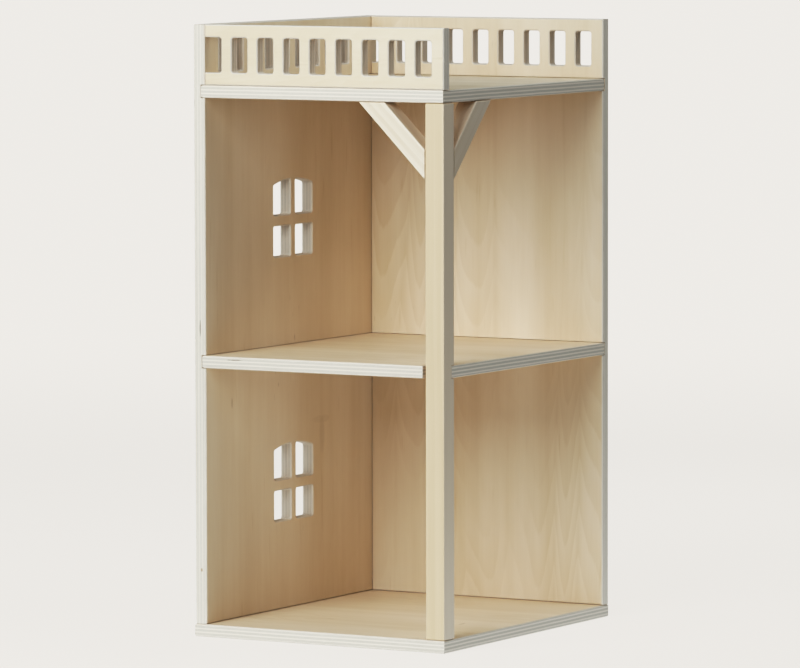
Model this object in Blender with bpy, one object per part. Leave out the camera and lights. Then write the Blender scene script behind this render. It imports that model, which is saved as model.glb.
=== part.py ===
"""A corner tower for a wooden dollhouse: two open rooms under a balcony with a slotted railing.

Units are metres, +X is right, +Y is back and +Z is up. The front and the right side are open.
The origin is at the centre of the underside. Boards are drawn flat in their own plane, from
their lower left corner, and are then turned and moved into place.
"""

from math import cos, pi, radians, sin, sqrt

import bmesh
import bpy
from mathutils import Matrix, Vector

# Overall sizes and stock
WIDTH = 0.272  # outer face of the left wall to the open right side
DEPTH = 0.326  # front edges to the outer face of the back wall
BOARD = 0.012  # plywood thickness
STICK = 0.020  # square stick of the post and the braces
ROOM_HEIGHT = 0.245  # clear height of each room
RAILING_HEIGHT = 0.0575
BASE_LIP = 0.001  # the base stands out this far past the left wall
DECK_SET_BACK = 0.0006  # right edge of the deck, behind the railing's end

# Edges and fits
ARRIS = 0.001  # broken edges of the boards
STICK_ARRIS = 0.0012
GLUE_GAP = 0.0003  # between pieces that touch
CORNER_STEPS = 4  # segments in a rounded corner
ROUND_STEPS = 16  # segments in a turned piece

# Grooves that hold the floor and the deck
GROOVE_DEPTH = 0.0044
GROOVE_SLACK = 0.0005  # the groove is this much higher than the board
POST_GROOVE_DEPTH = 0.0055
NOTCH_SLACK = 0.0029  # side of the floor's notch to the post

# Slots of the railing and of the wall tops
SLOT_WIDTH = 0.0171
SLOT_HEIGHT = 0.0335
SLOT_PITCH = 0.02855
SLOT_RADIUS = 0.0024
SLOT_END_MARGIN = 0.013  # least board beyond the last slot
LEAST_WEB = 0.002  # a slot nearer to a board's end than this runs out of it

# Windows of the left wall
WINDOW_SILL = 0.086  # above the floor of its room
PANE_WIDTH = 0.032
PANE_HEIGHT = 0.030
UPPER_PANE_SIDE = 0.0293  # height of an upper pane along its outer side
ARCH_RISE = 0.0054
UPRIGHT_BAR = 0.009
CROSS_BAR = 0.0103
PANE_RADIUS = 0.0026

BRACE_REACH = 0.0715  # long side of a brace, along the deck and down the post

# Countersunk screws up through the base
SCREW_RADIUS = 0.002
SCREW_HEAD_RADIUS = 0.004
SCREW_HEAD_HEIGHT = 0.0026
SCREW_HEAD_RIM = 0.0004  # straight rim below the countersink
SCREW_LENGTH = 0.035
SCREW_TIP = 0.006
SCREW_SINK = 0.0005  # head below the underside
SCREWS_PER_WALL = 3
SCREW_END_MARGIN = 0.040
RECESS_SPAN = 0.0044
RECESS_WIDTH = 0.0011
RECESS_DEPTH = 0.0016

# Dowels
DOWEL_RADIUS = 0.003
THIN_DOWEL_RADIUS = 0.0025
CORNER_DOWEL_LENGTH = 0.026
SHORT_DOWEL_LENGTH = 0.016
DOWEL_CHAMFER = 0.0006
DOWEL_IN_BOARD = 0.0075  # depth of a dowel in a board's face
DOWEL_IN_POST = 0.006
DOWELS_PER_ROOM = 2  # up the back corner of each room
CORNER_DOWEL_MARGIN = 0.060  # to the room's floor and ceiling
RAILING_DOWELS = 2
RAILING_DOWEL_MARGIN = 0.045

# Planes and levels that pieces share
LEFT = (BASE_LIP - WIDTH) / 2
RIGHT = LEFT + WIDTH
FRONT = -DEPTH / 2
BACK = DEPTH / 2
BASE_TOP = BOARD
FLOOR_UNDER = BASE_TOP + ROOM_HEIGHT
FLOOR_TOP = FLOOR_UNDER + BOARD
DECK_UNDER = FLOOR_TOP + ROOM_HEIGHT
DECK_TOP = DECK_UNDER + BOARD
TOP = DECK_TOP + RAILING_HEIGHT
WALL_FOOT = BASE_TOP + GLUE_GAP
INNER_LEFT = LEFT + BOARD
INNER_BACK = BACK - BOARD
WALL_START = INNER_LEFT + GLUE_GAP  # left end of the back wall and of the railing

FLAT = Matrix.Identity(4)
FACING_FRONT = Matrix.Rotation(radians(90), 4, "X")  # drawn x, y become X, Z; thickness runs to -Y
FACING_SIDE = Matrix.Rotation(radians(90), 4, "Z") @ FACING_FRONT  # x, y become Y, Z; thickness to +X

PLY = (0.76, 0.66, 0.50)
PINE = (0.72, 0.62, 0.46)
BEECH = (0.62, 0.45, 0.29)
STEEL = (0.55, 0.55, 0.54)


def clear_scene():
    for thing in list(bpy.data.objects):
        bpy.data.objects.remove(thing)


def material(name, colour, roughness, metallic=0.0):
    made = bpy.data.materials.new(name)
    made.use_nodes = True
    shader = made.node_tree.nodes["Principled BSDF"]
    shader.inputs["Base Color"].default_value = (*colour, 1)
    shader.inputs["Roughness"].default_value = roughness
    shader.inputs["Metallic"].default_value = metallic
    return made


def add_object(name, mesh, place, colour, roughness=0.6, metallic=0.0):
    piece = bpy.data.objects.new(name, mesh)
    piece.matrix_world = place
    mesh.materials.append(material(name, colour, roughness, metallic))
    mesh.shade_smooth()
    mesh.set_sharp_from_angle(angle=radians(30))
    bpy.context.scene.collection.objects.link(piece)
    return piece


def at(x, y, z, turn=FLAT):
    return Matrix.Translation((x, y, z)) @ turn


# Outlines: lists of points, counter-clockwise


def arc(centre, radius, start, end, steps=CORNER_STEPS):
    """Points along an arc, from one angle in degrees to the other."""
    turns = [radians(start + (end - start) * step / steps) for step in range(steps + 1)]
    return [(centre[0] + radius * cos(turn), centre[1] + radius * sin(turn)) for turn in turns]


def rectangle(left, bottom, right, top):
    return [(left, bottom), (right, bottom), (right, top), (left, top)]


def rounded_rectangle(left, bottom, right, top, radius):
    return (
        arc((left + radius, bottom + radius), radius, 180, 270)
        + arc((right - radius, bottom + radius), radius, 270, 360)
        + arc((right - radius, top - radius), radius, 0, 90)
        + arc((left + radius, top - radius), radius, 90, 180)
    )


def arched_pane(left, right, bottom, arch_centre, arch_radius):
    """An upper pane: its top edge follows the arch that both upper panes share."""
    reach = arch_radius - PANE_RADIUS

    def top_corner(x):
        return x, arch_centre[1] + sqrt(reach**2 - (x - arch_centre[0]) ** 2)

    def lean(corner):
        return 180 / pi * (Vector(corner) - Vector(arch_centre)).angle_signed(Vector((1, 0)))

    right_corner = top_corner(right - PANE_RADIUS)
    left_corner = top_corner(left + PANE_RADIUS)
    return (
        arc((left + PANE_RADIUS, bottom + PANE_RADIUS), PANE_RADIUS, 180, 270)
        + arc((right - PANE_RADIUS, bottom + PANE_RADIUS), PANE_RADIUS, 270, 360)
        + arc(right_corner, PANE_RADIUS, 0, lean(right_corner))
        + arc(arch_centre, arch_radius, lean(right_corner), lean(left_corner))[1:-1]
        + arc(left_corner, PANE_RADIUS, lean(left_corner), 180)
    )


def window(middle, sill):
    """The four panes of a window, as outlines."""
    half_bar = UPRIGHT_BAR / 2
    half_width = half_bar + PANE_WIDTH
    arch_radius = (half_width**2 + ARCH_RISE**2) / (2 * ARCH_RISE)
    upper_sill = sill + PANE_HEIGHT + CROSS_BAR
    crown = upper_sill + UPPER_PANE_SIDE + ARCH_RISE
    arch_centre = (middle, crown - arch_radius)
    panes = []
    for left, right in ((-half_width, -half_bar), (half_bar, half_width)):
        panes.append(
            rounded_rectangle(middle + left, sill, middle + right, sill + PANE_HEIGHT, PANE_RADIUS)
        )
        panes.append(
            arched_pane(middle + left, middle + right, upper_sill, arch_centre, arch_radius)
        )
    return panes


def slot_starts(length):
    """Left edges of the slots along a full side of the house, centred on it."""
    bar = SLOT_PITCH - SLOT_WIDTH
    count = int((length - 2 * SLOT_END_MARGIN + bar) / SLOT_PITCH)
    margin = (length - count * SLOT_PITCH + bar) / 2
    return [margin + index * SLOT_PITCH for index in range(count)]


def slotted_board(offset, length, height, full_length, slot_bottom):
    """Outline and slots of a board that starts at offset along a side of the house.

    A slot that leaves less than the least web at the board's left end runs out of it.
    """
    slot_top = slot_bottom + SLOT_HEIGHT
    outline = rectangle(0, 0, length, height)
    slots = []
    for start in slot_starts(full_length):
        left = start - offset
        right = left + SLOT_WIDTH
        if left >= LEAST_WEB:
            slots.append(rounded_rectangle(left, slot_bottom, right, slot_top, SLOT_RADIUS))
        elif right > LEAST_WEB:
            inside = right - SLOT_RADIUS
            outline += (
                [(0, slot_top)]
                + arc((inside, slot_top - SLOT_RADIUS), SLOT_RADIUS, 90, 0)
                + arc((inside, slot_bottom + SLOT_RADIUS), SLOT_RADIUS, 0, -90)
                + [(0, slot_bottom)]
            )
    return outline, slots


# Solids


def plate_mesh(name, outline, holes, thickness, arris):
    """A board of this outline with its face edges broken, from z = 0 up to its thickness."""
    curve = bpy.data.curves.new(name, "CURVE")
    curve.dimensions = "2D"
    curve.fill_mode = "BOTH"
    curve.extrude = thickness / 2 - arris
    curve.bevel_depth = arris
    curve.bevel_resolution = 0
    curve.offset = -arris
    for points in [outline, *holes]:
        spline = curve.splines.new("POLY")
        spline.points.add(len(points) - 1)
        for point, (x, y) in zip(spline.points, points):
            point.co = (x, y, 0, 1)
        spline.use_cyclic_u = True
    drawn = bpy.data.objects.new(name, curve)
    mesh = bpy.data.meshes.new_from_object(drawn)
    bpy.data.objects.remove(drawn)
    solid = bmesh.new()
    solid.from_mesh(mesh)
    bmesh.ops.remove_doubles(solid, verts=solid.verts, dist=1e-6)
    even_out_caps(solid, thickness / 2)
    bmesh.ops.translate(solid, verts=solid.verts, vec=(0, 0, thickness / 2))
    bmesh.ops.recalc_face_normals(solid, faces=solid.faces)
    solid.to_mesh(mesh)
    solid.free()
    mesh.name = name
    return mesh


def even_out_caps(solid, height):
    """Turns the edges inside both flat faces, so that no triangle there has its corners in line."""
    for level in (-height, height):
        level_verts = {vert for vert in solid.verts if abs(vert.co.z - level) < 1e-6}
        faces = [face for face in solid.faces if level_verts.issuperset(face.verts)]
        inside = [edge for edge in solid.edges if set(edge.link_faces) <= set(faces)]
        bmesh.ops.beautify_fill(solid, faces=faces, edges=inside, method="ANGLE")


def board(name, outline, holes, place):
    return add_object(name, plate_mesh(name, outline, holes, BOARD, ARRIS), place, PLY)


def prism_mesh(name, outline, thickness):
    """The outline pushed up from z = 0 to the thickness."""
    solid = bmesh.new()
    face = solid.faces.new([solid.verts.new((x, y, 0)) for x, y in outline])
    pushed = bmesh.ops.extrude_face_region(solid, geom=[face])["geom"]
    raised = [item for item in pushed if isinstance(item, bmesh.types.BMVert)]
    bmesh.ops.translate(solid, verts=raised, vec=(0, 0, thickness))
    bmesh.ops.recalc_face_normals(solid, faces=solid.faces)
    mesh = bpy.data.meshes.new(name)
    solid.to_mesh(mesh)
    solid.free()
    return mesh


def stick(name, outline, thickness, place):
    """A piece of square stick with its long edges eased."""
    piece = add_object(name, prism_mesh(name, outline, thickness), place, PINE)
    ease = piece.modifiers.new("eased edges", "BEVEL")
    ease.width = STICK_ARRIS
    ease.segments = 2
    ease.limit_method = "ANGLE"
    return piece


def turned_mesh(name, profile):
    """A solid turned about Z from (radius, height) points that run from its foot to its top."""
    solid = bmesh.new()
    verts = [solid.verts.new((radius, 0, height)) for radius, height in profile]
    edges = [solid.edges.new(pair) for pair in zip(verts, verts[1:])]
    bmesh.ops.spin(
        solid,
        geom=verts + edges,
        cent=(0, 0, 0),
        axis=(0, 0, 1),
        angle=2 * pi,
        steps=ROUND_STEPS,
        use_merge=True,
    )
    bmesh.ops.remove_doubles(solid, verts=solid.verts, dist=1e-6)
    bmesh.ops.recalc_face_normals(solid, faces=solid.faces)
    mesh = bpy.data.meshes.new(name)
    solid.to_mesh(mesh)
    solid.free()
    return mesh


def cut(host, name, mesh, place):
    """Takes the mesh, at its place, out of the host."""
    cutter = bpy.data.objects.new(name, mesh)
    cutter.matrix_world = place
    cutter.hide_render = True
    cutter.display_type = "WIRE"
    bpy.context.scene.collection.objects.link(cutter)
    difference = host.modifiers.new(name, "BOOLEAN")
    difference.operation = "DIFFERENCE"
    difference.solver = "EXACT"
    difference.object = cutter


def groove(host, low, high):
    """Takes the box between two opposite corners out of the host."""
    name = f"{host.name}_groove"
    size = Vector(high) - Vector(low)
    cut(host, name, prism_mesh(name, rectangle(0, 0, size.x, size.y), size.z), at(*low))


# Fixings


def dowel(name, radius, length, place, hosts):
    """A chamfered dowel from its place along its own Z, in a blind hole through its hosts."""

    def profile(grow):
        wide = radius + grow
        return [
            (0, -grow),
            (wide - DOWEL_CHAMFER, -grow),
            (wide, DOWEL_CHAMFER - grow),
            (wide, length - DOWEL_CHAMFER + grow),
            (wide - DOWEL_CHAMFER, length + grow),
            (0, length + grow),
        ]

    add_object(name, turned_mesh(name, profile(0)), place, BEECH, 0.55)
    for host in hosts:
        hole = f"{name}_hole_{host.name}"
        cut(host, hole, turned_mesh(hole, profile(GLUE_GAP)), place)


def recess_mesh(name):
    """The cross in a screw head, as a cutter."""
    span, width = RECESS_SPAN / 2, RECESS_WIDTH / 2
    arm = [(width, width), (width, span), (-width, span)]
    cross = []
    for quarter in range(4):
        turn = Matrix.Rotation(radians(90 * quarter), 2)
        cross += [tuple(turn @ Vector(point)) for point in arm]
    return prism_mesh(name, cross, 2 * RECESS_DEPTH)


def screw(name, x, y, host):
    """A countersunk screw that stands on its head, up through the base into its host."""

    def profile(grow, below):
        return [
            (0, -below),
            (SCREW_HEAD_RADIUS + grow, -below),
            (SCREW_HEAD_RADIUS + grow, SCREW_HEAD_RIM),
            (SCREW_RADIUS + grow, SCREW_HEAD_HEIGHT),
            (SCREW_RADIUS + grow, SCREW_LENGTH - SCREW_TIP),
            (grow / 2, SCREW_LENGTH + grow),
            (0, SCREW_LENGTH + grow),
        ]

    solid = profile(0, 0)
    solid[-2:] = [(0, SCREW_LENGTH)]
    place = at(x, y, SCREW_SINK)
    piece = add_object(name, turned_mesh(name, solid), place, STEEL, 0.35, 1.0)
    recess = f"{name}_recess"
    cut(piece, recess, recess_mesh(recess), place @ at(0, 0, -RECESS_DEPTH))
    for cut_host in (base, host):
        hole = f"{name}_hole_{cut_host.name}"
        cut(cut_host, hole, turned_mesh(hole, profile(GLUE_GAP, 2 * SCREW_SINK)), place)


def spread(low, high, count):
    """Evenly spaced places, the first and the last at the two ends."""
    return [low + (high - low) * index / (count - 1) for index in range(count)]


# Panels


def make_base():
    outline = rectangle(0, 0, WIDTH + BASE_LIP, DEPTH)
    return board("base_panel", outline, [], at(LEFT - BASE_LIP, FRONT, 0))


def make_left_wall():
    slot_bottom = DECK_TOP + (RAILING_HEIGHT - SLOT_HEIGHT) / 2 - WALL_FOOT
    outline, slots = slotted_board(0, DEPTH, TOP - WALL_FOOT, DEPTH, slot_bottom)
    panes = []
    for room_floor in (BASE_TOP, FLOOR_TOP):
        panes += window(DEPTH / 2, room_floor + WINDOW_SILL - WALL_FOOT)
    wall = board("left_wall", outline, slots + panes, at(LEFT, FRONT, WALL_FOOT, FACING_SIDE))
    for under in (FLOOR_UNDER, DECK_UNDER):
        groove(
            wall,
            (INNER_LEFT - GROOVE_DEPTH, FRONT - BOARD, under - GLUE_GAP),
            (INNER_LEFT + BOARD, INNER_BACK + GROOVE_DEPTH, under + BOARD + GROOVE_SLACK),
        )
    return wall


def make_back_wall():
    offset = WALL_START - LEFT
    slot_bottom = DECK_TOP + (RAILING_HEIGHT - SLOT_HEIGHT) / 2 - WALL_FOOT
    outline, slots = slotted_board(offset, WIDTH - offset, TOP - WALL_FOOT, WIDTH, slot_bottom)
    wall = board("back_wall", outline, slots, at(WALL_START, BACK, WALL_FOOT, FACING_FRONT))
    for under in (FLOOR_UNDER, DECK_UNDER):
        groove(
            wall,
            (LEFT, INNER_BACK - BOARD, under - GLUE_GAP),
            (RIGHT + BOARD, INNER_BACK + GROOVE_DEPTH, under + BOARD + GROOVE_SLACK),
        )
    return wall


def make_railing():
    offset = WALL_START - LEFT
    height = RAILING_HEIGHT - GLUE_GAP
    slot_bottom = (RAILING_HEIGHT - SLOT_HEIGHT) / 2 - GLUE_GAP
    outline, slots = slotted_board(offset, WIDTH - offset, height, WIDTH, slot_bottom)
    place = at(WALL_START, FRONT + BOARD, DECK_TOP + GLUE_GAP, FACING_FRONT)
    return board("front_railing", outline, slots, place)


def make_floor():
    """The middle floor: its ends sit in grooves, and its front right corner goes round the post."""
    left = INNER_LEFT - GROOVE_DEPTH + GLUE_GAP
    width = RIGHT - left
    depth = DEPTH - BOARD + GROOVE_DEPTH - GLUE_GAP
    notch_left = width - STICK - NOTCH_SLACK
    notch_back = STICK - POST_GROOVE_DEPTH + GLUE_GAP
    outline = [
        (0, 0),
        (notch_left, 0),
        (notch_left, notch_back),
        (width, notch_back),
        (width, depth),
        (0, depth),
    ]
    return board("middle_floor", outline, [], at(left, FRONT, FLOOR_UNDER))


def make_deck():
    left = INNER_LEFT - GROOVE_DEPTH + GLUE_GAP
    depth = DEPTH - BOARD + GROOVE_DEPTH - GLUE_GAP
    outline = rectangle(0, 0, RIGHT - DECK_SET_BACK - left, depth)
    return board("balcony_deck", outline, [], at(left, FRONT, DECK_UNDER))


def make_post():
    outline = rectangle(0, 0, STICK, STICK)
    height = DECK_UNDER - GLUE_GAP - WALL_FOOT
    post = stick("corner_post", outline, height, at(RIGHT - STICK, FRONT, WALL_FOOT))
    groove(
        post,
        (RIGHT - 2 * STICK, FRONT + STICK - POST_GROOVE_DEPTH, FLOOR_UNDER - GLUE_GAP),
        (RIGHT + STICK, FRONT + 2 * STICK, FLOOR_TOP + GLUE_GAP),
    )
    return post


def brace_outline():
    """A stick at 45 degrees with both ends cut square to the house, from the post's foot end."""
    side = STICK * sqrt(2)
    return [(0, 0), (0, side), (side - BRACE_REACH, BRACE_REACH), (-BRACE_REACH, BRACE_REACH)]


def make_front_brace():
    x = RIGHT - STICK - GLUE_GAP
    z = DECK_UNDER - GLUE_GAP - BRACE_REACH
    return stick("front_brace", brace_outline(), STICK, at(x, FRONT + STICK, z, FACING_FRONT))


def make_side_brace():
    outline = [(-x, z) for x, z in reversed(brace_outline())]
    y = FRONT + STICK + GLUE_GAP
    z = DECK_UNDER - GLUE_GAP - BRACE_REACH
    return stick("side_brace", outline, STICK, at(RIGHT - STICK, y, z, FACING_SIDE))


def fix_base():
    """Screws up through the base: along each wall and one under the post."""
    side_places = spread(FRONT + SCREW_END_MARGIN, BACK - SCREW_END_MARGIN, SCREWS_PER_WALL)
    for number, y in enumerate(side_places, 1):
        screw(f"left_wall_screw_{number}", LEFT + BOARD / 2, y, left_wall)
    back_places = spread(INNER_LEFT + SCREW_END_MARGIN, RIGHT - SCREW_END_MARGIN, SCREWS_PER_WALL)
    for number, x in enumerate(back_places, 1):
        screw(f"back_wall_screw_{number}", x, BACK - BOARD / 2, back_wall)
    screw("post_screw", RIGHT - STICK / 2, FRONT + STICK / 2, post)


def fix_back_corner():
    """Dowels from the left wall's inner face into the end of the back wall."""
    turn = Matrix.Rotation(radians(90), 4, "Y")
    heights = []
    for room_floor in (BASE_TOP, FLOOR_TOP):
        low, high = room_floor + CORNER_DOWEL_MARGIN, room_floor + ROOM_HEIGHT - CORNER_DOWEL_MARGIN
        heights += spread(low, high, DOWELS_PER_ROOM)
    for number, z in enumerate(heights, 1):
        place = at(INNER_LEFT - DOWEL_IN_BOARD, BACK - BOARD / 2, z, turn)
        name = f"corner_dowel_{number}"
        dowel(name, DOWEL_RADIUS, CORNER_DOWEL_LENGTH, place, (left_wall, back_wall))


def fix_railing():
    """Dowels up from the deck into the railing, below the bars between its slots."""
    starts = slot_starts(WIDTH)
    bars = [LEFT + start - (SLOT_PITCH - SLOT_WIDTH) / 2 for start in starts[1:]]
    wanted = spread(INNER_LEFT + RAILING_DOWEL_MARGIN, RIGHT - RAILING_DOWEL_MARGIN, RAILING_DOWELS)
    for number, goal in enumerate(wanted, 1):
        x = min(bars, key=lambda bar: abs(bar - goal))
        place = at(x, FRONT + BOARD / 2, DECK_TOP - DOWEL_IN_BOARD)
        name = f"railing_dowel_{number}"
        dowel(name, THIN_DOWEL_RADIUS, SHORT_DOWEL_LENGTH, place, (deck, railing))


def fix_post_and_braces():
    """Dowels at the post's head and at both ends of each brace, square to the joints."""
    centre = STICK / 2
    along = BRACE_REACH - STICK / sqrt(2)  # corner of post and deck to the middle of a cut end
    head = DECK_UNDER + DOWEL_IN_BOARD - SHORT_DOWEL_LENGTH
    low = DECK_UNDER - GLUE_GAP - along
    outside_post = SHORT_DOWEL_LENGTH - DOWEL_IN_POST
    to_right = Matrix.Rotation(radians(90), 4, "Y")
    to_front = Matrix.Rotation(radians(90), 4, "X")
    post_x, post_y = RIGHT - centre, FRONT + centre
    left_face, back_face = RIGHT - STICK, FRONT + STICK
    joints = (
        ("post_head_dowel", at(post_x, post_y, head), (deck, post)),
        ("front_brace_head_dowel", at(left_face - along, post_y, head), (deck, front_brace)),
        ("side_brace_head_dowel", at(post_x, back_face + along, head), (deck, side_brace)),
        (
            "front_brace_foot_dowel",
            at(left_face - outside_post, post_y, low, to_right),
            (post, front_brace),
        ),
        (
            "side_brace_foot_dowel",
            at(post_x, back_face + outside_post, low, to_front),
            (post, side_brace),
        ),
    )
    for name, place, hosts in joints:
        dowel(name, THIN_DOWEL_RADIUS, SHORT_DOWEL_LENGTH, place, hosts)


clear_scene()
base = make_base()
left_wall = make_left_wall()
back_wall = make_back_wall()
middle_floor = make_floor()
deck = make_deck()
post = make_post()
front_brace = make_front_brace()
side_brace = make_side_brace()
railing = make_railing()
fix_base()
fix_back_corner()
fix_railing()
fix_post_and_braces()
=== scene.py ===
"""The look of a corner tower for a wooden dollhouse, made around its fixed frame.

Units are metres, +X is right, +Y is back and +Z is up. The front and the right side are open.
"""

from math import pi, radians

import bmesh
import bpy
from mathutils import Matrix, Vector


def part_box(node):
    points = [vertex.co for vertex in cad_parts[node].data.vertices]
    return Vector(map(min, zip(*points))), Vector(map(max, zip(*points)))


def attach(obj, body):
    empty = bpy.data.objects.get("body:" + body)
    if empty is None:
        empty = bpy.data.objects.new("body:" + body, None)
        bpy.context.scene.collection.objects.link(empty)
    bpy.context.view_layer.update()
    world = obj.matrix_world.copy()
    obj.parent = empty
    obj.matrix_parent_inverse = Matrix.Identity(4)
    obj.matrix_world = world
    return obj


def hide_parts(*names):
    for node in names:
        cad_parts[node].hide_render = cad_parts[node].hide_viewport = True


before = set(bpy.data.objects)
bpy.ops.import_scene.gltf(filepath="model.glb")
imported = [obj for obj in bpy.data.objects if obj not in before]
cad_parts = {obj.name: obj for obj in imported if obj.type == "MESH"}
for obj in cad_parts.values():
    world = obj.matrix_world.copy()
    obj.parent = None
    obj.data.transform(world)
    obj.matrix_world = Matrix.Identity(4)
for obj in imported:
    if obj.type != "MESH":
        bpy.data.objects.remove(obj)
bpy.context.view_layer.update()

# Base panel. Birch plywood of seven crossed plies, sawn square, its arrises sanded round,
# then finished with one thin matt coat. The other boards are cut from the same sheet,
# so the sheet's material and the sanding are defined here.

PLIES = 7
ACROSS_X, ACROSS_Y, ACROSS_Z = range(3)
BIRCH_PALE = (0.865, 0.680, 0.465, 1)
BIRCH_TAN = (0.700, 0.500, 0.285, 1)
BIRCH_FLECK = (0.42, 0.25, 0.11, 1)
DARK_STREAK = (0.50, 0.32, 0.16, 1)
EDGE_LONG_GRAIN = (0.800, 0.650, 0.485, 1)
EDGE_END_GRAIN = (0.590, 0.468, 0.335, 1)
GLUE_LINE = (0.36, 0.25, 0.15, 1)
SANDED_ROUND = 0.00045
SANDING_STEPS = 2
SHARP_ARRIS = radians(28)
FLAT_FACE_WEIGHT = 100
FLAT_ENOUGH = radians(0.6)
SAME_POINT = 1e-6
COAT_IOR = 1.45
COAT_BUMP = 0.5
WOOD_RELIEF = 0.00012

# Arches of the peeled veneer: width and step up the grain in metres, the rest in steps
ARCH_WIDTH = 0.044
ARCH_STEP = 0.042
ARCH_BEND = 2.6
ARCH_HEIGHT = 1.7
ARCH_SWELL = 3.0
ARCH_FEATHER = 0.22
LATE_WOOD_END = 0.86
ARCH_MEAN = 0.45
ARCH_FOOT = (0, 0.28)

# Noise: features a metre over the grain, through the board and along the grain
WANDER_GRAIN = (14, 0, 1.3)
SWELL_GRAIN = (11, 0, 4)
FEATHER_GRAIN = (420, 0, 12)
PLY_WAVER_GRAIN = (22, 22, 22)
BAND_GRAIN = (16, 0, 0.9)
STREAK_GRAIN = (95, 95, 1.5)
CLOUD_GRAIN = (22, 22, 6)
FIBRE_GRAIN = (900, 900, 30)
LENS_GRAIN = (190, 0, 16)
STRONG_GRAIN = (8, 0, 5)
FLECK_GRAIN = (260, 0, 55)
FLECK_PATCH_GRAIN = (9, 0, 6)
SAWN_GRAIN = (500, 500, 60)
DRIFT_GRAIN = (16, 600, 16)

# Where each pattern sets in and where it is full
STRONG_ONSET = (0.35, 0.65)
LENS_ONSET = (0.68, 0.8)
FLECK_ONSET = (0.66, 0.78)
FLECK_PATCH_ONSET = (0.60, 0.72)
FACE_ONSET = (0.55, 0.95)
GLUE_ONSET = (0.42, 0.49)
MARK_ONSET = (0.2, 1.0)

# How much each pattern darkens a face, as a share of the way from pale to tan
FACE_TAN = 0.46
CLOUD_TAN = 0.8
STREAK_TAN = 0.45
BAND_TAN = 1.5
FOOT_TAN = 0.3
FIBRE_TAN = 0.22
LENS_TAN = 0.3
FLECK_TAN = 0.5

# The same for an edge, from long grain to end grain
EDGE_TAN = 0.3
SAWN_TAN = 0.5
DRIFT_TAN = 0.4
CROSSED_END_SHARE = 0.65
PLY_WAVER = 0.3
GLUE_TAN = 0.45
MARK_RAGGED = 2.5

# Roughness of a face, what edges, fibre and end grain add to it, and the height of the relief
FACE_ROUGHNESS = 0.50
EDGE_ROUGHER = 0.16
FIBRE_ROUGHER = 0.16
END_ROUGHER = 0.08
FIBRE_HEIGHT = 0.6
SAWN_HEIGHT = 0.8
STREAK_HEIGHT = 0.4
PLY_SEED_STEP = 3.7


class Field:
    """A socket of a material being made. Operators between fields and numbers add Math nodes."""

    def __init__(self, tree, socket=None):
        self.tree = tree
        self.socket = socket

    def node(self, kind, settings, inputs, output=0):
        """Adds a node with its settings, then gives its inputs numbers, colours or fields."""
        added = self.tree.nodes.new(kind)
        for name, value in settings.items():
            setattr(added, name, value)
        for name, value in inputs.items():
            if isinstance(value, Field):
                self.tree.links.new(value.socket, added.inputs[name])
            else:
                added.inputs[name].default_value = value
        return Field(self.tree, added.outputs[output] if added.outputs else None)

    def math(self, operation, *values):
        return self.node("ShaderNodeMath", {"operation": operation}, dict(enumerate(values)))

    def __add__(self, other):
        return self.math("ADD", self, other)

    def __radd__(self, other):
        return self.math("ADD", other, self)

    def __sub__(self, other):
        return self.math("SUBTRACT", self, other)

    def __rsub__(self, other):
        return self.math("SUBTRACT", other, self)

    def __mul__(self, other):
        return self.math("MULTIPLY", self, other)

    def __rmul__(self, other):
        return self.math("MULTIPLY", other, self)

    def __truediv__(self, other):
        return self.math("DIVIDE", self, other)

    def __rtruediv__(self, other):
        return self.math("DIVIDE", other, self)

    def __pow__(self, other):
        return self.math("POWER", self, other)

    def __rpow__(self, other):
        return self.math("POWER", other, self)

    def __abs__(self):
        return self.math("ABSOLUTE", self)

    def axes(self):
        """The three parts of a vector."""
        return [self.node("ShaderNodeSeparateXYZ", {}, {"Vector": self}, axis) for axis in range(3)]

    def rise(self, low, high):
        """0 below low, 1 above high, and smooth between."""
        settings = {"interpolation_type": "SMOOTHSTEP"}
        return self.node(
            "ShaderNodeMapRange", settings, {"Value": self, "From Min": low, "From Max": high}
        )

    def sine(self):
        return self.math("SINE", self)

    def root(self):
        return self.math("SQRT", self)

    def fraction(self):
        return self.math("FRACT", self)

    def mix(self, factor, first, second):
        """The first colour at factor 0 and the second at 1."""
        inputs = {"Factor": factor, 6: first, 7: second}
        return self.node("ShaderNodeMix", {"data_type": "RGBA"}, inputs, 2)

    def noise(self, across, depth, along, scales, detail, roughness=0.5, shift=0.0):
        """Noise at these places, in metres, with this many features a metre each way."""
        place = self.node(
            "ShaderNodeCombineXYZ",
            {},
            {
                "X": across * scales[0] + shift,
                "Y": depth * scales[1] + shift,
                "Z": along * scales[2] + shift,
            },
        )
        inputs = {"Vector": place, "Scale": 1.0, "Detail": detail, "Roughness": roughness}
        return self.node("ShaderNodeTexNoise", {}, inputs)


def new_finish(name):
    """An empty material, and the field that its nodes are made from."""
    finish = bpy.data.materials.new(name)
    finish.use_nodes = True
    finish.node_tree.nodes.clear()
    return finish, Field(finish.node_tree)


def coat(field, colour, roughness, height, depth):
    """Ends a material: colour and roughness under a matt coat, and height as a bump."""
    bump = {"Strength": COAT_BUMP, "Distance": depth, "Height": height}
    bump = field.node("ShaderNodeBump", {}, bump)
    shader = field.node(
        "ShaderNodeBsdfPrincipled",
        {},
        {"Base Color": colour, "Roughness": roughness, "IOR": COAT_IOR, "Normal": bump},
    )
    field.node("ShaderNodeOutputMaterial", {}, {"Surface": shader})


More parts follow.
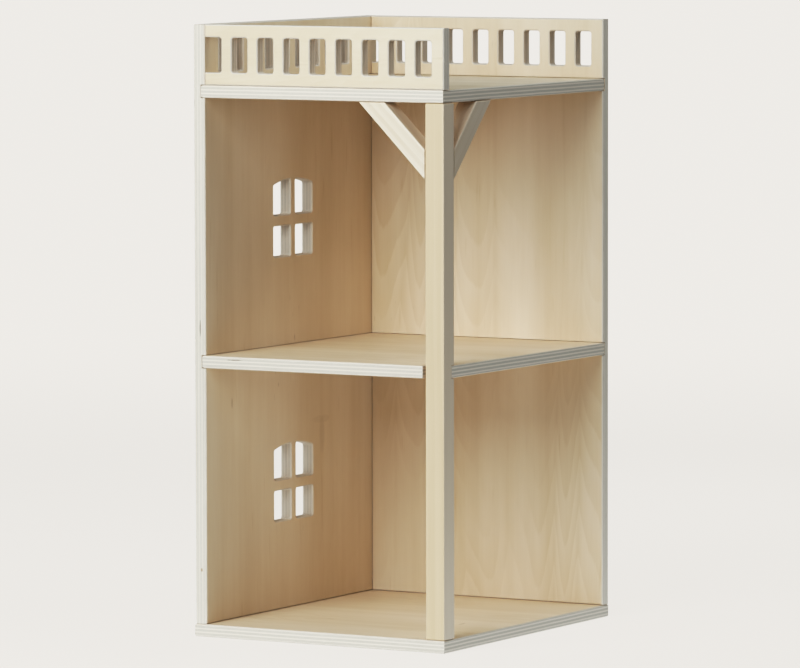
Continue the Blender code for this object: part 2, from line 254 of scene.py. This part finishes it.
def peeled_figure(field, over, along, seed):
    """Growth rings of a peeled veneer as nested arches that point up the grain.

    Gives how dark the rings are, and how high in its arch a place lies: 0 at the foot, 1 on top.
    """
    wander = field.noise(over, 0.0, along, WANDER_GRAIN, 1.0, shift=seed)
    swell = field.noise(over, 0.0, along, SWELL_GRAIN, 2.0, shift=seed + 3)
    feather = field.noise(over, 0.0, along, FEATHER_GRAIN, 2.0, shift=seed + 6)
    lobe = abs(((over / ARCH_WIDTH + wander * ARCH_BEND) * pi).sine())
    line = along / ARCH_STEP + lobe * ARCH_HEIGHT + swell * ARCH_SWELL + feather * ARCH_FEATHER
    ring = line.fraction()
    return ring - ring.rise(LATE_WOOD_END, 1.0), lobe


def plywood(name, thickness_axis, grain_axis, seed, figure=0.3, warmth=0.0, marks=(), plies=1.0):
    """Seven crossed plies; the faces' grain runs along grain_axis.

    A mark is a stained spot, or a small void painted dark as the shade inside it: its colour,
    strength, centre, and reach along X, Y and Z.
    plies is how strongly the plies show on the edges.
    """
    low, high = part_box(name)
    finish, field = new_finish(name + "_plywood")
    place = field.node("ShaderNodeTexCoord", {}, {}, "Object").axes()
    facing = field.node("ShaderNodeTexCoord", {}, {}, "Normal").axes()
    cross_axis = 3 - thickness_axis - grain_axis
    along, across, through = place[grain_axis], place[cross_axis], place[thickness_axis]

    # Which ply a point lies in, and how that ply's grain meets the surface
    waver = field.noise(across, through, along, PLY_WAVER_GRAIN, 1.0, shift=seed) - 0.5
    level = (through - low[thickness_axis]) / (high - low)[thickness_axis] * PLIES
    level = level + waver * PLY_WAVER
    ply = field.math("MINIMUM", field.math("MAXIMUM", field.math("FLOOR", level), 0), PLIES - 1)
    crossed = field.math("MODULO", ply, 2)
    plain = 1 - crossed
    with_grain = along * plain + across * crossed
    over_grain = across * plain + along * crossed
    ply_seed = ply * PLY_SEED_STEP + seed
    end_grain = facing[cross_axis] ** 2 * crossed * CROSSED_END_SHARE
    end_grain = facing[grain_axis] ** 2 * plain + end_grain
    is_face = (facing[thickness_axis] ** 2).rise(*FACE_ONSET)

    # Faces: arches of a peeled veneer, broad bands, streaks, fibre and a few pith flecks
    arch, lobe = peeled_figure(field, over_grain, with_grain, ply_seed)
    bands = field.noise(over_grain, through, with_grain, BAND_GRAIN, 2.0, 0.55, ply_seed + 9)
    streaks = field.noise(over_grain, through, with_grain, STREAK_GRAIN, 3.0, 0.6, ply_seed + 5)
    clouds = field.noise(over_grain, through, with_grain, CLOUD_GRAIN, 3.0, 0.55, ply_seed + 2)
    fibre = field.noise(over_grain, through, with_grain, FIBRE_GRAIN, 3.0, 0.6, ply_seed + 1)
    lens = field.noise(over_grain, through, with_grain, LENS_GRAIN, 1.0, 0.5, ply_seed + 8)
    strong = field.noise(over_grain, through, with_grain, STRONG_GRAIN, 1.0, 0.5, ply_seed + 6)
    strong = strong.rise(*STRONG_ONSET)
    tan = (clouds - 0.5) * CLOUD_TAN + (streaks - 0.5) * STREAK_TAN + (bands - 0.5) * BAND_TAN
    tan = tan + FACE_TAN + warmth
    foot = 1 - lobe.rise(*ARCH_FOOT)
    tan = tan + (ARCH_MEAN - arch) * figure * strong + foot * figure * FOOT_TAN
    tan = tan + (fibre - 0.5) * FIBRE_TAN + lens.rise(*LENS_ONSET) * LENS_TAN
    face = field.mix(tan, BIRCH_PALE, BIRCH_TAN)
    fleck = field.noise(over_grain, through, with_grain, FLECK_GRAIN, 2.0, 0.5, ply_seed + 7)
    patch = field.noise(over_grain, through, with_grain, FLECK_PATCH_GRAIN, 1.0, 0.5, ply_seed + 4)
    flecked = fleck.rise(*FLECK_ONSET) * patch.rise(*FLECK_PATCH_ONSET)
    face = field.mix(flecked * FLECK_TAN, face, BIRCH_FLECK)

    # Sawn and sanded edges: plies with end grain are darker, glue lines darker still
    sawn = field.noise(over_grain, through, with_grain, SAWN_GRAIN, 3.0, 0.6, ply_seed + 3)
    drift = field.noise(along, through, across, DRIFT_GRAIN, 2.0, 0.5, seed + 6)
    end = (end_grain - EDGE_TAN) * plies + (sawn - 0.5) * SAWN_TAN
    end = end + (drift - 0.5) * DRIFT_TAN + EDGE_TAN
    edge = field.mix(end, EDGE_LONG_GRAIN, EDGE_END_GRAIN)
    to_glue = abs(level.fraction() - 0.5)
    edge = field.mix(to_glue.rise(*GLUE_ONSET) * GLUE_TAN * plies, edge, GLUE_LINE)
    colour = field.mix(is_face, edge, face)

    # Marks: real stains, and small voids painted dark as their shade
    for stain_and_shade, strength, centre, reach in marks:
        gaps = [(part - middle) / size for part, middle, size in zip(place, centre, reach)]
        distance = gaps[0] ** 2 + gaps[1] ** 2 + gaps[2] ** 2 + (streaks - 0.5) * MARK_RAGGED
        colour = field.mix((1 - distance.rise(*MARK_ONSET)) * strength, colour, stain_and_shade)

    roughness = FACE_ROUGHNESS + (1 - is_face) * EDGE_ROUGHER
    roughness = roughness + (fibre - 0.5) * FIBRE_ROUGHER + end_grain * END_ROUGHER
    height = fibre * FIBRE_HEIGHT + sawn * (1 - is_face) * SAWN_HEIGHT + streaks * STREAK_HEIGHT
    coat(field, colour, roughness, height, WOOD_RELIEF)
    return finish


def sanded(name, finish, round_off=SANDED_ROUND):
    """The frame's piece with its broken arrises sanded round."""
    solid = bmesh.new()
    solid.from_mesh(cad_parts[name].data)
    bmesh.ops.remove_doubles(solid, verts=solid.verts, dist=SAME_POINT)
    bmesh.ops.dissolve_limit(
        solid, angle_limit=FLAT_ENOUGH, verts=solid.verts, edges=solid.edges
    )
    for face in solid.faces:
        face.smooth = True
    mesh = bpy.data.meshes.new(name + "_sanded")
    solid.to_mesh(mesh)
    solid.free()
    piece = bpy.data.objects.new(name + "_sanded", mesh)
    bpy.context.scene.collection.objects.link(piece)
    mesh.materials.append(finish)
    ease = piece.modifiers.new("sanding", "BEVEL")
    ease.width = round_off
    ease.segments = SANDING_STEPS
    ease.limit_method = "ANGLE"
    ease.angle_limit = SHARP_ARRIS
    flatten = piece.modifiers.new("flat_faces", "WEIGHTED_NORMAL")
    flatten.weight = FLAT_FACE_WEIGHT
    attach(piece, "root")
    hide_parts(name)


BASE_MARKS = ((DARK_STREAK, 0.8, (0.0873, -0.0415, 0.012), (0.0012, 0.007, 0.004)),)
BASE_SEED = 3.1
base_board = plywood("base_panel", ACROSS_Z, ACROSS_X, BASE_SEED, marks=BASE_MARKS)
sanded("base_panel", base_board)

# Walls. The left wall stands on the base and carries two windows of four panes; the back wall
# butts against it. Face grain runs up both. Grooves take the floor and the deck.

# Colour of small voids in the plies' edges, which are not cut into the boards: painted shade
VOID_SHADE = (0.16, 0.09, 0.04, 1)
LEFT_WALL_SEED = 11.3
LEFT_WALL_FIGURE = 0.06
BACK_WALL_SEED = 27.9
BACK_WALL_FIGURE = 0.34
WALL_PLIES = 0.6
LEFT_WALL_MARKS = (
    (DARK_STREAK, 0.16, (-0.1235, 0.053, 0.1915), (0.006, 0.024, 0.0040)),
    (DARK_STREAK, 0.22, (-0.1235, 0.054, 0.176), (0.006, 0.005, 0.022)),
    (DARK_STREAK, 0.6, (-0.1235, -0.115, 0.220), (0.006, 0.0013, 0.006)),
    # A void in the front edge, painted dark as its shade
    (VOID_SHADE, 0.6, (-0.1293, -0.163, 0.295), (0.0009, 0.004, 0.008)),
    (BIRCH_FLECK, 0.9, (-0.1288, -0.163, 0.064), (0.0011, 0.004, 0.0021)),
)
left_wall_board = plywood(
    "left_wall",
    ACROSS_X,
    ACROSS_Z,
    LEFT_WALL_SEED,
    LEFT_WALL_FIGURE,
    marks=LEFT_WALL_MARKS,
    plies=WALL_PLIES,
)
back_wall_board = plywood(
    "back_wall", ACROSS_Y, ACROSS_Z, BACK_WALL_SEED, BACK_WALL_FIGURE, plies=WALL_PLIES
)
sanded("left_wall", left_wall_board)
sanded("back_wall", back_wall_board)

# Middle floor and balcony deck. They slide into the grooves, with their face grain from left
# to right, and the floor is notched round the post.

# The floor's mark is a void in its front edge, painted dark as its shade
FLOOR_MARKS = ((VOID_SHADE, 0.7, (-0.0925, -0.163, 0.266), (0.0095, 0.004, 0.0007)),)
FLOOR_SEED = 41.7
DECK_SEED = 58.2
floor_board = plywood("middle_floor", ACROSS_Z, ACROSS_X, FLOOR_SEED, marks=FLOOR_MARKS)
sanded("middle_floor", floor_board)
sanded("balcony_deck", plywood("balcony_deck", ACROSS_Z, ACROSS_X, DECK_SEED))

# Railing. A slotted strip of the same birch plywood with its face grain from left to right,
# dowelled and glued down on the front of the deck, its left end against the left wall.

RAILING_PLIES = 0.5
RAILING_SEED = 73.4
RAILING_FIGURE = 0.1
RAILING_WARMTH = 0.15
railing_board = plywood(
    "front_railing",
    ACROSS_Y,
    ACROSS_X,
    RAILING_SEED,
    RAILING_FIGURE,
    RAILING_WARMTH,
    plies=RAILING_PLIES,
)
sanded("front_railing", railing_board)

# Corner post and braces. Solid square sticks, planed, with their long edges eased. The braces
# are cut off square to the house at both ends, so they meet the post and the deck flat.

STICK_PALE = (0.710, 0.505, 0.290, 1)
STICK_RING = (0.600, 0.400, 0.205, 1)
STICK_RING_STEP = 0.0065
STICK_ROUND = 0.0003
PITH_LEFT = 0.031
PITH_BACK = 0.023
PITH_BEND_X = 0.034
PITH_BEND_Y = 0.026
STICK_BEND_GRAIN = (9, 9, 3.0)
STICK_STREAK_GRAIN = (150, 150, 2.2)
STICK_CLOUD_GRAIN = (45, 45, 6)
STICK_FIBRE_GRAIN = (1100, 1100, 30)
STICK_TAN = 0.2
RING_TAN = 0.22
STICK_STREAK_TAN = 0.6
STICK_CLOUD_TAN = 0.6
STICK_FIBRE_TAN = 0.25
STICK_END_TAN = 0.7
STICK_END_ROUGHER = 0.1
RING_HEIGHT = 0.4
EARLY_WOOD = (0.15, 0.85)
# A cooler grey painted on the sides that face along X: painted light from the right, not a wood
# tone
SIDE_LIGHT_GREY = (0.785, 0.610, 0.440, 1)


def solid_stick(name, lean, seed, pale=STICK_PALE, side_light=0.0):
    """Solid wood with its grain along the stick.

    lean is the axis and the angle that would turn the stick upright. The last argument is how far
    the sides that face along X are painted a cooler grey: painted light, as those sides get cooler
    light.
    """
    finish, field = new_finish(name + "_wood")
    place = field.node("ShaderNodeTexCoord", {}, {}, "Object")
    facing = field.node("ShaderNodeTexCoord", {}, {}, "Normal")
    low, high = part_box(name)
    centre = (low + high) / 2
    axis, angle = lean
    turn = {"Axis": axis, "Angle": angle}
    place = field.node("ShaderNodeVectorRotate", {}, {"Vector": place, "Center": centre, **turn})
    facing = field.node("ShaderNodeVectorRotate", {}, {"Vector": facing, **turn})
    x, y, z = place.axes()
    end_grain = facing.axes()[2] ** 2
    bend = field.noise(x, y, z, STICK_BEND_GRAIN, 2.0, 0.5, seed) - 0.5
    pith_x = x - (centre.x - PITH_LEFT) + bend * PITH_BEND_X
    pith_y = y - (centre.y + PITH_BACK) + bend * PITH_BEND_Y
    ring = ((pith_x**2 + pith_y**2).root() / STICK_RING_STEP).fraction()
    late = ring.rise(*EARLY_WOOD) * (1 - ring.rise(LATE_WOOD_END, 1.0))
    streaks = field.noise(x, y, z, STICK_STREAK_GRAIN, 3.0, 0.6, seed + 1)
    clouds = field.noise(x, y, z, STICK_CLOUD_GRAIN, 2.0, 0.5, seed + 2)
    fibre = field.noise(x, y, z, STICK_FIBRE_GRAIN, 3.0, 0.6, seed + 3)
    tone = late * RING_TAN + (streaks - 0.5) * STICK_STREAK_TAN
    tone = tone + (clouds - 0.5) * STICK_CLOUD_TAN + (fibre - 0.5) * STICK_FIBRE_TAN + STICK_TAN
    colour = field.mix(tone + end_grain * STICK_END_TAN, pale, STICK_RING)
    # Painted light: the sides that face along X turn a cooler grey
    colour = field.mix(facing.axes()[0] ** 2 * side_light, colour, SIDE_LIGHT_GREY)
    roughness = FACE_ROUGHNESS + (fibre - 0.5) * FIBRE_ROUGHER + end_grain * STICK_END_ROUGHER
    coat(field, colour, roughness, fibre + late * RING_HEIGHT, WOOD_RELIEF)
    return finish


UPRIGHT = ((0, 0, 1), 0.0)
LEANS_LEFT = ((0, 1, 0), radians(45))
LEANS_BACK = ((1, 0, 0), radians(45))
BRACE_PALE = (0.870, 0.690, 0.490, 1)
# The side brace gets a darker, greyer copy of the brace wood: painted shade for a stick seen from
# its dim side along X
SIDE_BRACE_SHADED = (0.720, 0.560, 0.400, 1)
# How far the post's sides along X are painted in that cooler light
POST_SIDE_LIGHT = 0.6
POST_SEED = 5.5
FRONT_BRACE_SEED = 9.1
SIDE_BRACE_SEED = 14.6
post_wood = solid_stick("corner_post", UPRIGHT, POST_SEED, side_light=POST_SIDE_LIGHT)
sanded("corner_post", post_wood, STICK_ROUND)
front_wood = solid_stick("front_brace", LEANS_LEFT, FRONT_BRACE_SEED, BRACE_PALE)
sanded("front_brace", front_wood, STICK_ROUND)
side_wood = solid_stick("side_brace", LEANS_BACK, SIDE_BRACE_SEED, SIDE_BRACE_SHADED)
sanded("side_brace", side_wood, STICK_ROUND)

# Dowels. Plain beech pegs, turned and cut to length with their ends eased. Each is glued into
# blind holes in the two pieces that it joins.

BEECH_PALE = (0.62, 0.42, 0.25, 1)
BEECH_FLECK = (0.36, 0.20, 0.10, 1)
BEECH_FIBRE_GRAIN = (700, 700, 700)
BEECH_RAY_GRAIN = (1500, 1500, 400)
BEECH_RELIEF = 0.0001
PEG_ROUND = 0.0002


def beech():
    """Pale, even wood with short dark rays."""
    finish, field = new_finish("beech")
    x, y, z = field.node("ShaderNodeTexCoord", {}, {}, "Object").axes()
    fibre = field.noise(x, y, z, BEECH_FIBRE_GRAIN, 3.0, 0.6)
    rays = field.noise(x, y, z, BEECH_RAY_GRAIN, 1.0, 0.5)
    colour = field.mix(rays.rise(0.55, 0.7) * 0.5 + (fibre - 0.5), BEECH_PALE, BEECH_FLECK)
    coat(field, colour, fibre * 0.2 + 0.5, fibre, BEECH_RELIEF)
    return finish


beech_finish = beech()
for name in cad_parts:
    if "dowel" in name:
        sanded(name, beech_finish, PEG_ROUND)

# Screws. Zinc-plated steel with countersunk heads, dulled by handling. They are driven up
# through the base into the walls and the post.

ZINC = (0.62, 0.62, 0.60, 1)
ZINC_DULL = (0.40, 0.40, 0.38, 1)
ZINC_CLOUD_GRAIN = (900, 900, 900)
ZINC_BUMP = 0.4
ZINC_RELIEF = 0.00005
SCREW_ROUND = 0.00008


def zinc():
    """Bright plating under a dull cloud."""
    finish, field = new_finish("zinc")
    x, y, z = field.node("ShaderNodeTexCoord", {}, {}, "Object").axes()
    cloud = field.noise(x, y, z, ZINC_CLOUD_GRAIN, 3.0, 0.6)
    colour = field.mix(cloud, ZINC, ZINC_DULL)
    bump = {"Strength": ZINC_BUMP, "Distance": ZINC_RELIEF, "Height": cloud}
    bump = field.node("ShaderNodeBump", {}, bump)
    shader = field.node(
        "ShaderNodeBsdfPrincipled",
        {},
        {"Base Color": colour, "Metallic": 1.0, "Roughness": cloud * 0.2 + 0.25, "Normal": bump},
    )
    field.node("ShaderNodeOutputMaterial", {}, {"Surface": shader})
    return finish


zinc_finish = zinc()
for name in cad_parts:
    if "screw" in name:
        sanded(name, zinc_finish, SCREW_ROUND)

# Floor. Pale and round: it takes the soft shadow near the house and is an even glow further off.
# It throws no light back, as the light from below does that, and it is clear from underneath.

PALE = (0.829, 0.796, 0.742, 1)
FLOOR_RADIUS = 40.0
SHADOW_REACH = (0.8, 3.5)
SHADE_SHARE = 0.12
SHADE_ALBEDO = (0.98, 0.81, 0.65, 1)
FLOOR_SIDES = 96
FLOOR_DROP = 0.0004


def floor_finish():
    """An even glow, with some matt paint in it near the house to take the shadow."""
    finish, field = new_finish("pale_sweep")
    x, y, z = field.node("ShaderNodeTexCoord", {}, {}, "Object").axes()
    distance = (x**2 + y**2 + z**2).root()
    near = (1 - distance.rise(*SHADOW_REACH)) * SHADE_SHARE
    glow = field.node("ShaderNodeEmission", {}, {"Color": PALE, "Strength": 1.0})
    matt = field.node("ShaderNodeBsdfDiffuse", {}, {"Color": SHADE_ALBEDO})
    both = field.node("ShaderNodeMixShader", {}, {0: near, 1: glow, 2: matt})
    from_below = field.node("ShaderNodeNewGeometry", {}, {}, "Backfacing")
    clear = field.node("ShaderNodeBsdfTransparent", {}, {})
    shown = field.node("ShaderNodeMixShader", {}, {0: from_below, 1: both, 2: clear})
    field.node("ShaderNodeOutputMaterial", {}, {"Surface": shown})
    return finish


def make_floor():
    """A flat disc just under the base, which throws no light and no shadow on the house."""
    solid = bmesh.new()
    bmesh.ops.create_circle(solid, cap_ends=True, radius=FLOOR_RADIUS, segments=FLOOR_SIDES)
    mesh = bpy.data.meshes.new("sweep")
    solid.to_mesh(mesh)
    solid.free()
    mesh.materials.append(floor_finish())
    sweep = bpy.data.objects.new("sweep", mesh)
    bpy.context.scene.collection.objects.link(sweep)
    sweep.visible_diffuse = False
    sweep.visible_glossy = False
    sweep.visible_shadow = False
    sweep.location.z = -FLOOR_DROP


make_floor()

# Light. One large soft panel from the front and above, and weaker ones from the other sides,
# overhead and behind. A white table below throws light up, and the room around is dim.

STUDIO_TINT = Vector((0.711, 0.846, 1.0))
PANEL_AWAY = 1.5
HOUSE_MIDDLE = Vector((0, 0, 0.29))
TABLE_MIDDLE = Vector((0.08, -0.03, -0.004))
TABLE_SIZE = 1.35
TABLE_GLOW = 1.06
ROOM_GLOW = 0.02

# Degrees towards the left and up, size in metres, strength, and whether gloss shows the panel
PANELS = {
    "key": (0, 26, 0.9, 7.2, True),
    "front_left_fill": (12, 20, 1.0, 1.78, True),
    "right_fill": (-105, 54, 1.0, 2.3, True),
    "overhead": (0, 90, 1.0, 0.45, True),
    "back_fill": (180, 25, 1.0, 2.4, False),
    "left_fill": (95, 20, 1.0, 1.8, False),
}


def panel(name, towards_left, elevation, size, glow, in_gloss):
    """A soft square light that faces the house; glow is its brightness, whatever its size."""
    light = bpy.data.lights.new(name, "AREA")
    light.shape = "SQUARE"
    light.size = size
    light.energy = glow * pi * size**2
    light.color = STUDIO_TINT
    lamp = bpy.data.objects.new(name, light)
    turn = Matrix.Rotation(radians(-towards_left), 4, "Z")
    turn = turn @ Matrix.Rotation(radians(90 - elevation), 4, "X")
    lamp.matrix_world = (
        Matrix.Translation(HOUSE_MIDDLE) @ turn @ Matrix.Translation((0, 0, PANEL_AWAY))
    )
    lamp.visible_camera = False
    lamp.visible_glossy = in_gloss
    bpy.context.scene.collection.objects.link(lamp)


def table_light(size, glow):
    """The light that a white table throws up."""
    light = bpy.data.lights.new("table_bounce", "AREA")
    light.shape = "DISK"
    light.size = size
    light.energy = glow * pi**2 * (size / 2) ** 2
    light.color = STUDIO_TINT
    lamp = bpy.data.objects.new("table_bounce", light)
    lamp.matrix_world = Matrix.Translation(TABLE_MIDDLE) @ Matrix.Rotation(pi, 4, "X")
    lamp.visible_camera = False
    bpy.context.scene.collection.objects.link(lamp)


for name, settings in PANELS.items():
    panel(name, *settings)
table_light(TABLE_SIZE, TABLE_GLOW)


def make_world():
    """Dim light from all round; the camera sees it as pale as the floor far off."""
    world = bpy.data.worlds.new("studio")
    world.use_nodes = True
    world.node_tree.nodes.clear()
    bpy.context.scene.world = world
    field = Field(world.node_tree)
    room = {"Color": (*STUDIO_TINT, 1), "Strength": ROOM_GLOW}
    room = field.node("ShaderNodeBackground", {}, room)
    backdrop = field.node("ShaderNodeBackground", {}, {"Color": PALE})
    seen = field.node("ShaderNodeLightPath", {}, {}, "Is Camera Ray")
    both = field.node("ShaderNodeMixShader", {}, {0: seen, 1: room, 2: backdrop})
    field.node("ShaderNodeOutputWorld", {}, {"Surface": both})


make_world()

# Camera. A long lens from the front right, a little above the balcony, and the contrast of a
# print: the scene's light goes through one curve.

CAMERA_PLACE = (3.0347, -5.2978, 0.7686)
CAMERA_YAW = radians(29.838)
CAMERA_PITCH = radians(-4.547)
CAMERA_ROLL = radians(-0.106)
LENS_MM = 286.4
SENSOR_MM = 36
SIGHT_END = 2 * FLOOR_RADIUS + 20

# How strong a light is in the scene, and how light it prints
FILM_CURVE = ((0.05, 0.044), (0.12, 0.125), (0.35, 0.450), (0.6, 0.700), (0.8, 0.835), (1.0, 0.94))


def make_camera():
    """The lens, turned to the left, tipped down and rolled a little."""
    lens = bpy.data.cameras.new("camera")
    lens.lens = LENS_MM
    lens.sensor_width = SENSOR_MM
    lens.clip_end = SIGHT_END
    camera = bpy.data.objects.new("camera", lens)
    aim = Matrix.Rotation(CAMERA_YAW, 4, "Z") @ Matrix.Rotation(pi / 2 + CAMERA_PITCH, 4, "X")
    camera.matrix_world = (
        Matrix.Translation(CAMERA_PLACE) @ aim @ Matrix.Rotation(CAMERA_ROLL, 4, "Z")
    )
    bpy.context.scene.collection.objects.link(camera)
    bpy.context.scene.camera = camera


def film_curve():
    """Print contrast: deeper shadows, lifted middle tones and a soft shoulder."""
    settings = bpy.context.scene.view_settings
    settings.view_transform = "Standard"
    settings.look = "None"
    settings.use_curve_mapping = True
    curve = settings.curve_mapping.curves[3]
    curve.points[-1].location = FILM_CURVE[-1]
    for light, shown in FILM_CURVE[:-1]:
        curve.points.new(light, shown)
    settings.curve_mapping.update()


make_camera()
film_curve()
